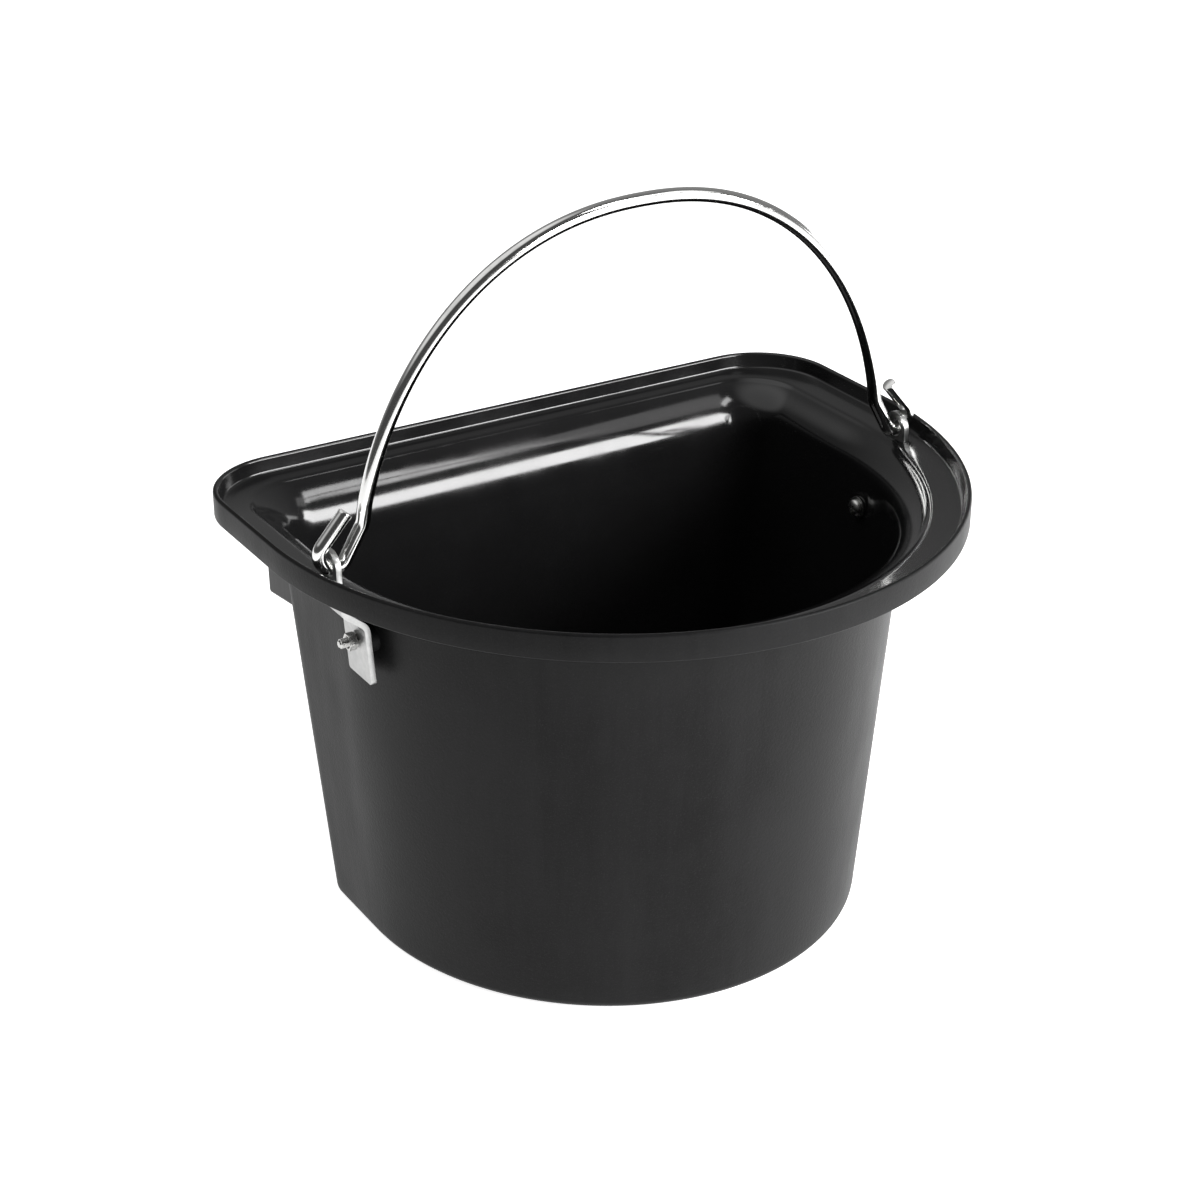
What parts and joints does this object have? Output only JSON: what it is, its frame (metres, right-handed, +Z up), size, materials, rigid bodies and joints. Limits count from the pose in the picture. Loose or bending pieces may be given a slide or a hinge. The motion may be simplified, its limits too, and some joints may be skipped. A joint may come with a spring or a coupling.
{
  "type": "feed bucket",
  "caption": "Portable half-round feed bucket with a flat back, stepped rim, steel ears bolted to the wall and a swinging wire bail.",
  "frame": {"origin": "on the floor, under the middle of the rim's outline", "axes": "+Z up; +Y towards the flat back; -Y towards the curved front; X runs across, along the bail's hinge line"},
  "size_m": [0.376, 0.3016, 0.3974],
  "materials": {
    "black_plastic": "satin moulded polyethylene",
    "bright_wire": "bright zinc-plated drawn wire",
    "zinc_plate": "galvanised sheet and plated fasteners"
  },
  "bodies": {
    "bucket": {"bucket_shell": "black_plastic", "left_ear_plate": "zinc_plate", "right_ear_plate": "zinc_plate", "left_ear_bolt": "zinc_plate", "right_ear_bolt": "zinc_plate", "left_ear_nut": "zinc_plate", "right_ear_nut": "zinc_plate", "left_inner_washer": "zinc_plate", "right_inner_washer": "zinc_plate"},
    "bail": {"bail_handle": "bright_wire"}
  },
  "joints": [
    {"name": "bail_swing", "type": "hinge", "parent": "bucket", "child": "bail", "pos_m": [0, 0.01615, 0.2368], "axis": [1, 0, 0], "range_deg": [-89, 87.7]}
  ]
}
